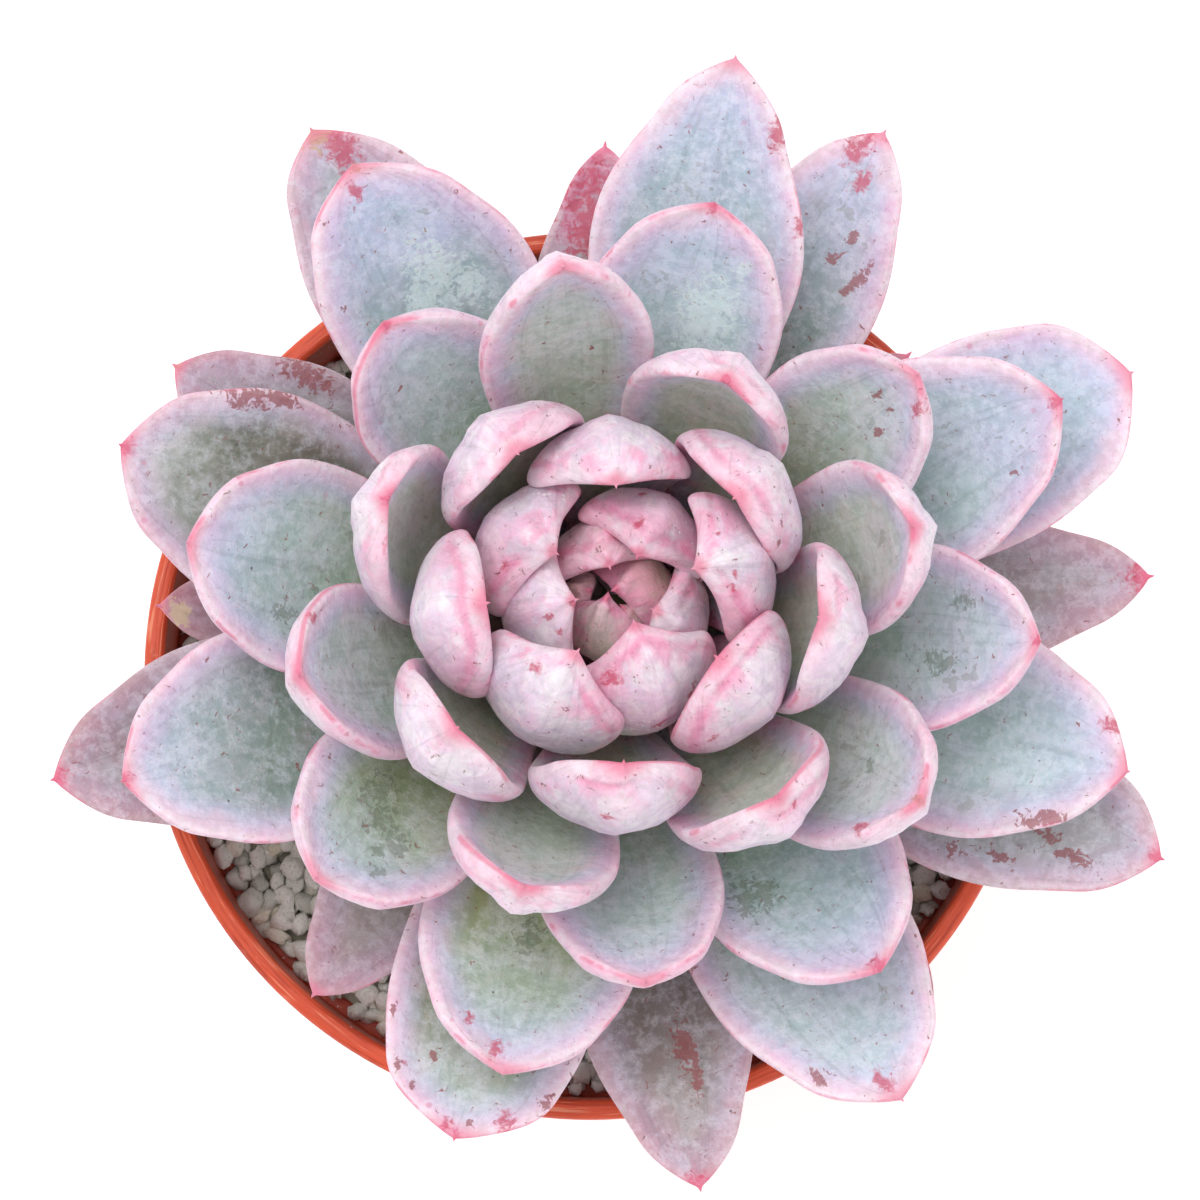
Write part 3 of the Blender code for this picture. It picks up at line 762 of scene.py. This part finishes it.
def mark_depth(kind, number, points, rows, place, face):
    """How deep each point lies in the leaf's marks of a kind: 1 at a mark's middle and 0 past its edge."""
    depth = np.zeros(points.shape[:2])
    axis = unit(points[-1].mean(0) - points[0].mean(0))
    drawn_out, shown = MARK_SHAPES[kind]
    flattening = 1 - 1 / drawn_out**2
    own_face = face < 0 if number >= UNDER_MARKS_FROM else face > 0
    for along, across, radius in MARKS[kind].get(number, ()):
        column = np.argmin(np.abs(place - across / 100) + 10.0 * ~own_face)
        middle = points[np.argmin(np.abs(rows - along / 100)), column]
        offset = points - middle
        gap = np.sqrt(np.maximum((offset**2).sum(-1) - flattening * (offset @ axis) ** 2, 0.0))
        gap /= radius / 10 * shown * MM
        depth = np.maximum(depth, np.clip(1 - 0.5 * gap, 0.0, 1.0))
    return depth


def leaf_mesh(name, rings, tip, number, traits):
    """A leaf's fine mesh, with all that its skin reads: margin distance, length, traits and marks."""
    points, normal, rows, place, face = loft(rings, tip, traits["age"])
    points = weather(points, normal, rows, place, face, number)
    count = POINTS_AROUND
    # the last row, where all points meet, is one vertex
    end = (len(rows) - 1) * count
    faces = [tuple(range(count))[::-1]]
    for low in range(0, end, count):
        for p in range(count):
            after = (p + 1) % count
            on = (end,) if low + count == end else (low + count + after, low + count + p)
            faces.append((low + p, low + after) + on)
    mesh = bpy.data.meshes.new(name)
    mesh.from_pydata(points.reshape(-1, 3)[: end + 1].tolist(), [], faces)
    form = bmesh.new()
    form.from_mesh(mesh)
    bmesh.ops.recalc_face_normals(form, faces=form.faces)
    form.to_mesh(mesh)
    form.free()
    mesh.shade_smooth()

    gaps = nearest_margin(points, place)
    set_attribute(mesh, "rim", gaps * face)
    lengthwise = np.repeat(rows[:, None], count, axis=1)
    set_attribute(mesh, "along", lengthwise)
    for trait, value in traits.items():
        set_attribute(mesh, trait, np.full(points.shape[:2], value))
    for kind in MARKS:
        set_attribute(mesh, kind, mark_depth(kind, number, points, rows, place, face))
    flat = np.stack([np.broadcast_to(place, gaps.shape) * 0.5 + number, lengthwise], -1).reshape(-1, 2)
    chart = mesh.uv_layers.new(name="leaf_map")
    corners = np.zeros(len(mesh.loops), np.int32)
    mesh.loops.foreach_get("vertex_index", corners)
    chart.data.foreach_set("uv", flat[corners].astype(np.float32).ravel())
    return mesh


def traits_of(number, count):
    """A leaf's place in the rosette, from 0 for the oldest to 1, and its traits, each from 0 to 1."""
    age = (number - 1) / (count - 1)
    usual = {trait: float(np.interp(age, *row)) for trait, row in TRAITS_BY_AGE.items()}
    return {"age": age, **usual, **OWN_TRAITS.get(number, {})}


def slot_of(node):
    """The record's material slot of a CAD node."""
    return next(part["material_slot"] for part in frame["record"]["subparts"] if part["node"] == node)


def build_leaves(skin):
    names = sorted(n for n in frame["nodes"] if n.startswith("leaf_"))
    count = len(names) + len(HEART_LEAVES)
    for number, name in enumerate(names, start=1):
        rings, tip = read_rings(name)
        mesh = leaf_mesh(f"skin_{number:02d}", rings, tip, number, traits_of(number, count))
        add_piece(f"succulent_leaf_{number:02d}", mesh, skin, slot_of(name), name)
    return len(names), count


# ---- heart ----


def bud_axis():
    """The CAD bud's foot, the way it grows, its height and its greatest radius."""
    form = merged("heart_bud")
    points = np.array([v.co[:] for v in form.verts])
    form.free()
    foot = points[np.argmin(points[:, 2])]
    top = points[np.argmax(points[:, 2])]
    height = np.linalg.norm(top - foot)
    grow = (top - foot) / height
    out = points - foot
    out -= np.outer(out @ grow, grow)
    return foot, grow, height, np.linalg.norm(out, axis=1).max()


def heart_rings(foot, grow, height, radius, side, span, stop):
    """The rings of a small leaf that hugs the bud's axis, and its tip."""
    east = unit(np.array([1.0, 0.0, 0.0]) - grow[0] * grow)
    north = np.cross(grow, east)
    rings = []
    for share in HEART_STATIONS:
        dome = math.sqrt(1 - (max(0.0, share - HEART_DOME[0]) / HEART_DOME[1]) ** 2)
        foot_share = HEART_FOOT + (1 - HEART_FOOT) * min(1.0, share / HEART_BELLY)
        belly = stop + (1 - stop) * dome * foot_share
        reach = math.radians(span)
        ring = []
        for place in (-1, -0.5, 0, 0.5, 1):
            turn = math.radians(side) + reach * place
            out = math.cos(turn) * east + math.sin(turn) * north
            lean = unit(out + grow * (share - HEART_BELLY) * HEART_LEAN)
            lens = (1 - place * place) ** 0.6
            thick = HEART_THICKNESS * (1 - 0.45 * share) * lens
            middle = foot + grow * height * (share - 0.10 * place * place * share) + out * radius * belly
            ring.append((middle - lean * TOP_SHARE * thick, middle + lean * (1 - TOP_SHARE) * thick))
        inner = [points[0] for points in ring]
        outer = [points[1] for points in ring]
        rings.append(inner + outer[3:0:-1])
    own = math.cos(math.radians(side)) * east + math.sin(math.radians(side)) * north
    tip = foot + grow * height * HEART_TIP + own * radius * stop
    return np.array(rings) + own * HEART_GAP, tip + own * HEART_GAP


def build_heart(skin, number, count):
    foot, grow, height, radius = bud_axis()
    for step, (side, span, width, tallness, stop) in enumerate(HEART_LEAVES, start=1):
        rings, tip = heart_rings(foot, grow, height * tallness, radius * width, side, span, stop)
        mesh = leaf_mesh(f"heart_skin_{step}", rings, tip, number + step, traits_of(number + step, count))
        stands_for = ("heart_bud",) if step == 1 else ()
        add_piece(f"heart_leaf_{step}", mesh, skin, "young_leaf", *stands_for)


# ---- pot ----


def wall_profile():
    """The pot wall's corners as (radius, height), from its foot up the outside and down the inside."""
    form = merged("pot")
    half = [v for v in form.verts if abs(v.co.y) < JOIN and v.co.x > WALL_FROM]
    here = min(half, key=lambda v: (v.co.z, -v.co.x))
    walk = [here]
    while True:
        after = [e.other_vert(here) for e in here.link_edges]
        after = [v for v in after if v in half and v not in walk]
        if not after:
            break
        here = max(after, key=lambda v: v.co.x) if len(walk) == 1 else after[0]
        walk.append(here)
    profile = [(v.co.x, v.co.z) for v in walk]
    form.free()
    return profile


def rounded(profile, radius, steps=4):
    """A profile with its inner corners turned into small arcs."""
    soft = [profile[0]]
    for before, corner, after in zip(profile, profile[1:], profile[2:]):
        before, corner, after = Vector(before), Vector(corner), Vector(after)
        back = before - corner
        on = after - corner
        cut = min(radius, 0.45 * back.length, 0.45 * on.length)
        start = corner + back.normalized() * cut
        end = corner + on.normalized() * cut
        for step in range(steps + 1):
            t = step / steps
            soft.append(tuple(start * (1 - t) ** 2 + corner * 2 * t * (1 - t) + end * t * t))
    return soft + [profile[-1]]


def circle(form, radius, height, sides, middle=(0.0, 0.0)):
    """A ring of new vertices."""
    turns = [2 * math.pi * i / sides for i in range(sides)]
    spots = [(middle[0] + radius * math.cos(t), middle[1] + radius * math.sin(t)) for t in turns]
    return [form.verts.new((x, y, height)) for x, y in spots]


def turned(name, profile, sides):
    """A closed solid turned round the pot's axis. The profile starts and ends on the axis."""
    form = bmesh.new()
    rings = []
    for radius, height in profile:
        on_axis = radius < JOIN
        rings.append(circle(form, 0.0 if on_axis else radius, height, 1 if on_axis else sides))
    for low, high in zip(rings, rings[1:]):
        if len(low) == 1:
            form.faces.new(high[::-1])
        elif len(high) == 1:
            form.faces.new(low)
        else:
            for i in range(sides):
                j = (i + 1) % sides
                form.faces.new((low[i], low[j], high[j], high[i]))
    for loose in [v for v in form.verts if not v.link_faces]:
        form.verts.remove(loose)
    bmesh.ops.recalc_face_normals(form, faces=form.faces)
    return mesh_of(form, name)


def drain_holes():
    """Each drain hole of the CAD pot as its centre and radius."""
    form = merged("pot")
    spots = [v.co.copy() for v in form.verts if v.co.z < JOIN and v.co.xy.length < WALL_FROM]
    form.free()
    holes = {}
    for spot in spots:
        holes.setdefault(round(math.degrees(math.atan2(spot.y, spot.x)) / 45) % 8, []).append(spot.xy)
    found = []
    for edge in holes.values():
        centre = sum(edge, Vector((0.0, 0.0))) / len(edge)
        found.append((centre, max((p - centre).length for p in edge)))
    return found


def build_pot(look):
    wall = wall_profile()
    floor = wall[-1][1]
    profile = [(0.0, 0.0)] + rounded(wall, POT_ROUNDING) + [(0.0, floor)]
    mesh = turned("pot_wall", profile, POT_SIDES)
    form = bmesh.new()
    for centre, radius in drain_holes():
        place = Matrix.Translation((centre.x, centre.y, floor / 2))
        bmesh.ops.create_cone(
            form, cap_ends=True, segments=HOLE_SIDES, radius1=radius, radius2=radius,
            depth=3 * floor, matrix=place,
        )
    blank = put("pot_blank", mesh)
    cutter = put("drain_cutter", mesh_of(form, "drain_cutter"))
    drill = blank.modifiers.new("drain_holes", "BOOLEAN")
    drill.object = cutter
    drill.operation = "DIFFERENCE"
    pot = finished_mesh(blank, "nursery_pot")
    bpy.data.objects.remove(cutter)
    pot.shade_smooth()
    pot.set_sharp_from_angle(angle=math.radians(38))
    add_piece("nursery_pot", pot, look, "pot_plastic", "pot")


def finished_mesh(thing, name):
    """The object's shape with its modifiers made real. The object itself goes."""
    bpy.context.view_layer.update()
    graph = bpy.context.evaluated_depsgraph_get()
    mesh = bpy.data.meshes.new_from_object(thing.evaluated_get(graph), depsgraph=graph)
    mesh.name = name
    bpy.data.objects.remove(thing)
    return mesh


# ---- grit ----


def disc_between(name, outer, inner, centre, height, sides=96):
    """A flat ring-shaped sheet: the ground on which grains are scattered."""
    form = bmesh.new()
    near = circle(form, inner, height, sides, centre)
    far = circle(form, outer, height, sides)
    for i in range(sides):
        j = (i + 1) % sides
        form.faces.new((near[i], far[i], far[j], near[j]))
    return mesh_of(form, name)


def grain_tree(look):
    """Scatters dented grains over a sheet. Its sizes are inputs."""
    tree = bpy.data.node_groups.new("scattered_grains", "GeometryNodeTree")
    face = tree.interface
    face.new_socket("Geometry", in_out="INPUT", socket_type="NodeSocketGeometry")
    for name in ("Spacing", "Smallest Grain", "Largest Grain", "Dents"):
        face.new_socket(name, in_out="INPUT", socket_type="NodeSocketFloat")
    face.new_socket("Seed", in_out="INPUT", socket_type="NodeSocketInt")
    face.new_socket("Geometry", in_out="OUTPUT", socket_type="NodeSocketGeometry")
    given = tree.nodes.new("NodeGroupInput").outputs
    result = tree.nodes.new("NodeGroupOutput")

    def step(kind, inputs=(), output=0, **settings):
        return add_step(tree, kind, inputs, output, **settings)

    def vector(operation, first, other):
        scale = "Scale" if operation == "SCALE" else 1
        return step("ShaderNodeVectorMath", {0: first, scale: other}, operation=operation)

    # a few grain shapes, each a small ball dented by its own noise
    place = step("GeometryNodeInputPosition")
    shapes = []
    for shape in range(GRAIN_SHAPES):
        ball = step("GeometryNodeMeshIcoSphere", {"Radius": 1.0, "Subdivisions": 2})
        shift = vector("ADD", place, (7.3 * shape, 3.1, 5.7))
        dent = step("ShaderNodeTexNoise", {"Vector": shift, "Scale": 0.9, "Detail": 1.0}, "Color")
        dent = vector("SCALE", vector("SUBTRACT", dent, (0.5, 0.5, 0.5)), given["Dents"])
        dent = vector("MULTIPLY", dent, (4.0, 4.0, 3.0))
        ball = step("GeometryNodeSetPosition", {"Geometry": ball, "Offset": dent})
        shapes.append(step("GeometryNodeGeometryToInstance", {"Geometry": ball}))
    grains = step("GeometryNodeJoinGeometry")
    for shape in shapes:
        tree.links.new(shape, grains.node.inputs[0])

    points = step("GeometryNodeDistributePointsOnFaces", {
        "Mesh": given["Geometry"], "Distance Min": given["Spacing"], "Density Max": GRAIN_CROWD,
        "Seed": given["Seed"],
    }, distribute_method="POISSON")
    size = step("FunctionNodeRandomValue", {
        "Min": given["Smallest Grain"], "Max": given["Largest Grain"], "Seed": given["Seed"],
    }, 1, data_type="FLOAT")
    stretch = step("FunctionNodeRandomValue", {
        0: (0.75, 0.75, 0.6), 1: (1.2, 1.1, 0.95), "Seed": GRAIN_SEED,
    }, 0, data_type="FLOAT_VECTOR")
    scale = vector("SCALE", stretch, size)
    turn = step("FunctionNodeRandomValue", {
        0: (0.0, 0.0, 0.0), 1: (6.28, 6.28, 6.28), "Seed": GRAIN_SEED + 1,
    }, 0, data_type="FLOAT_VECTOR")
    placed = step("GeometryNodeInstanceOnPoints", {
        "Points": points, "Instance": grains, "Pick Instance": True, "Rotation": turn, "Scale": scale,
    })
    tone = step("FunctionNodeRandomValue", {
        "Min": 0.0, "Max": 1.0, "Seed": GRAIN_SEED + 2,
    }, 1, data_type="FLOAT")
    toned = step("GeometryNodeStoreNamedAttribute", {
        "Geometry": placed, "Name": "tone", "Value": tone,
    }, data_type="FLOAT", domain="INSTANCE")
    real = step("GeometryNodeRealizeInstances", {"Geometry": toned})
    final = step("GeometryNodeSetMaterial", {"Geometry": real, "Material": look})
    tree.links.new(final, result.inputs[0])
    return tree


def build_grit(look, bed_look):
    low, high = (Vector(corner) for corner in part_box("pumice_topdressing"))
    outer = (high.x - low.x) / 2 - GRAIN_SMALLEST * GRAIN_INSET
    form = merged("stem")
    level = [v.co for v in form.verts if abs(v.co.z - high.z) < STEM_NEAR_GRIT]
    centre = sum((v.xy for v in level), Vector((0.0, 0.0))) / len(level)
    inner = max((v.xy - centre).length for v in level) + GRAIN_SMALLEST
    form.free()
    tree = grain_tree(look)
    top = high.z - GRAIN_LARGEST * GRAIN_DEPTH
    for layer, level in enumerate((top, top - GRIT_LAYER_DROP)):
        sheet = disc_between("grit_sheet", outer, inner, centre, level)
        scatter = put("grit_scatter", sheet)
        grow = scatter.modifiers.new("grains", "NODES")
        grow.node_group = tree
        sizes = {
            "Spacing": GRAIN_SPACING, "Smallest Grain": GRAIN_SMALLEST, "Largest Grain": GRAIN_LARGEST,
            "Dents": GRAIN_DENTS, "Seed": GRAIN_SEED + 10 * layer,
        }
        for item in tree.interface.items_tree:
            if item.in_out == "INPUT" and item.name in sizes:
                grow[item.identifier] = sizes[item.name]
        grains = finished_mesh(scatter, f"pumice_grains_{layer + 1}")
        grains.shade_smooth()
        stands_for = ("pumice_topdressing",) if layer == 0 else ()
        add_piece(f"pumice_grains_{layer + 1}", grains, look, "pumice", *stands_for)

    # the bed under the grains, darker than they are: partly the fines and partly painted shade in their
    # gaps
    bed_top = high.z - GRIT_BED_SINK
    low_edge = outer - 3 * GRAIN_LARGEST
    profile = [(0.0, low.z), (low_edge, low.z), (outer + GRAIN_SMALLEST / 2, bed_top), (0.0, bed_top)]
    bed = turned("grit_bed", profile, 64)
    bed.shade_flat()
    add_piece("grit_bed", bed, bed_look, "pumice")


# ---- stem ----


def build_stem(look):
    """The CAD stem, made finer, with the low ridges that shed leaves leave round it."""
    form = merged("stem")
    bmesh.ops.triangulate(form, faces=form.faces)
    bmesh.ops.subdivide_edges(form, edges=form.edges, cuts=3, use_grid_fill=True)
    form.normal_update()
    for vertex in form.verts:
        wobble = 0.6 * math.sin(9 * math.atan2(vertex.co.y, vertex.co.x))
        ridge = math.sin(vertex.co.z * STEM_RIDGES + wobble)
        rough = noise.noise(vertex.co * 450)
        vertex.co += vertex.normal * (STEM_RIDGE_HEIGHT * ridge + STEM_ROUGHNESS * rough)
    mesh = mesh_of(form, "stem_skin")
    mesh.shade_smooth()
    add_piece("scarred_stem", mesh, look, "stem", "stem")


# ---- looks of the pot, the grit, the stem and the mix ----


def pot_plastic():
    """Terracotta-coloured plastic: scuffed, with dried splashes on the inner wall, painted shade on the
    inner wall and painted highlights along the lines on the rim.
    """
    look = Finish("terracotta_plastic")
    rise, times, over = look.rise, look.times, look.over
    place = look.object_place()
    cloud = look.noise(place, 60.0, 3.0)
    scuff = look.noise(look.stretch(place, (1.0, 1.0, 9.0)), 320.0, 6.0, 0.7)
    speck = look.noise(place, 1500.0, 2.0, 0.6)
    height = look.axis(place, "Z")
    flat = look.stretch(place, (1.0, 1.0, 0.0))
    from_axis = look.step("ShaderNodeVectorMath", {0: flat}, "Value", operation="LENGTH")

    # fine lines turned round the pot, strong on the rim only: darker lines, and pale ones that are painted
    # highlights
    coarse = look.stretch(place, (90.0, 90.0, 0.0))
    level = times(look.sum(from_axis, height), 2200.0)
    turn = {0: look.axis(coarse, "X"), 1: look.axis(coarse, "Y"), 2: level}
    rounds = look.noise(look.step("ShaderNodeCombineXYZ", turn), 1.0, 3.0, 0.6)
    rim = rise(height, 0.0960, 0.0974, 0.12, 1.0)
    # the inside of the wall below the rim: painted shade there, and the real dried splashes
    deep = times(rise(from_axis, 0.0582, 0.0574), rise(height, 0.0820, 0.0828))
    deep = times(deep, rise(height, 0.0985, 0.0965))
    colour = over(
        "e0542d",
        (rise(cloud, 0.35, 0.65), "d54c29"),
        (times(rise(rounds, 0.50, 0.64, 0.0, 0.75), rim), "b2361c"),
        # painted highlights: pale streaks along the turned lines of the rim
        (times(rise(rounds, 0.44, 0.32, 0.0, 0.6), rim), "f9a582"),
        # painted shade: the inner wall darker
        (times(deep, 0.8), "ad4630"),
        (rise(scuff, 0.60, 0.75, 0.0, 0.35), "e8a588"),
        (times(rise(speck, 0.66, 0.72), rise(cloud, 0.45, 0.6), deep), "e5d9cc"),
    )
    rough = look.sum(times(scuff, 0.25), 0.3)
    relief = look.bump(rounds, 0.00018, look.bump(scuff, 0.00010))
    return look.done(colour, rough, relief, {"Specular IOR Level": 0.45})


def pumice_look():
    """Pale cream, grey and greenish grains, each with its own tone, pitted and dusty, with painted shade
    in the pits.
    """
    look = Finish("pumice_grain")
    place = look.object_place()
    tone = look.attribute("tone")
    pits = look.noise(place, 2600.0, 5.0, 0.7)
    dust = look.noise(place, 700.0, 3.0)
    dusty = look.rise(dust, 0.50, 0.7, 0.0, 0.25)
    # painted shade: the pits darker
    pitted = look.rise(pits, 0.46, 0.34, 0.0, 0.4)
    colour = look.over(look.ramp(tone, GRAIN_COLOURS), (dusty, "dfe4da"), (pitted, "8a887a"))
    relief = look.bump(pits, 0.00025)
    return look.done(colour, 0.95, relief, {"Specular IOR Level": 0.2})


def stem_bark():
    """Green-brown stem skin with darker rings."""
    look = Finish("stem_bark")
    place = look.object_place()
    rings = look.noise(look.stretch(place, (1.0, 1.0, 8.0)), 260.0, 4.0)
    colour = look.ramp(rings, [(0.3, "5c5a38"), (0.5, "7c7a52"), (0.7, "9a8f66")])
    return look.done(colour, 0.8, look.bump(rings, 0.0003))


def potting_mix():
    """Dark peat with paler fibres and crumbs."""
    look = Finish("peat_mix")
    place = look.object_place()
    crumbs = look.cells(place, 420.0)
    fibres = look.noise(look.stretch(place, (3.0, 1.0, 1.0)), 500.0, 6.0, 0.7)
    colour = look.ramp(fibres, [(0.3, "1d1611"), (0.55, "3a2d22"), (0.75, "6a5742")])
    relief = look.bump(crumbs, 0.0008)
    return look.done(colour, 0.95, relief)


def grit_shade():
    """The fines between the grains, seen only through their gaps: a sheet darker than the grains, partly
    the fines' own colour and partly painted shade in the gaps.
    """
    look = Finish("grit_shade")
    shade = look.mix(look.noise(look.object_place(), 400.0, 4.0), "a8a28e", "ffffff")
    return look.done(look.mix(0.12, "a8a28e", shade), 0.95)


def carry(node, look):
    """Gives a CAD solid that is shown as it is its finish."""
    target = frame["nodes"][node]
    target.data.materials.clear()
    target.data.materials.append(look)


def build_stage():
    mesh = bpy.data.meshes.new("floor")
    corners = [(x * FLOOR_REACH, y * FLOOR_REACH, 0) for x, y in ((-1, -1), (1, -1), (1, 1), (-1, 1))]
    mesh.from_pydata(corners, [], [(0, 1, 2, 3)])
    floor = put("floor", mesh)
    look = Finish("pale_floor")
    # the floor glows a little: painted light that washes out its shadows and lights the plant from below
    mesh.materials.append(look.done("fcfcfc", 0.9, None, {"Emission Strength": FLOOR_GLOW}))


def build_light():
    world = bpy.data.worlds.new("studio")
    bpy.context.scene.world = world
    world.use_nodes = True
    back = world.node_tree.nodes["Background"]
    back.inputs["Color"].default_value = (1.0, 1.0, 1.0, 1.0)
    back.inputs["Strength"].default_value = SKY_STRENGTH
    for name, place, size, power in LAMPS:
        light = bpy.data.lights.new(name, "AREA")
        light.size = size
        light.energy = power
        lamp = put(name, light)
        lamp.location = place
        lamp.rotation_euler = (CAMERA_AIM - Vector(place)).to_track_quat("-Z", "Y").to_euler()


def build_camera():
    camera = bpy.data.cameras.new("camera")
    camera.lens = CAMERA_LENS
    camera.sensor_width = SENSOR
    camera.clip_start = 0.01
    eye = put("camera", camera)
    rise = math.radians(CAMERA_ELEVATION)
    back = Vector((0.0, -math.cos(rise), math.sin(rise)))
    eye.location = CAMERA_AIM + back * CAMERA_DISTANCE
    eye.rotation_euler = (-back).to_track_quat("-Z", "Y").to_euler()
    bpy.context.scene.camera = eye


for leftover in [o for o in bpy.data.objects if o.name in ("Cube", "Light", "Camera")]:
    bpy.data.objects.remove(leftover)
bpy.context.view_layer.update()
bpy.context.scene.view_settings.view_transform = "Standard"
build_camera()
build_light()
build_stage()
skin = leaf_skin()
build_heart(skin, *build_leaves(skin))
build_pot(pot_plastic())
build_grit(pumice_look(), grit_shade())
build_stem(stem_bark())
carry("potting_mix", potting_mix())
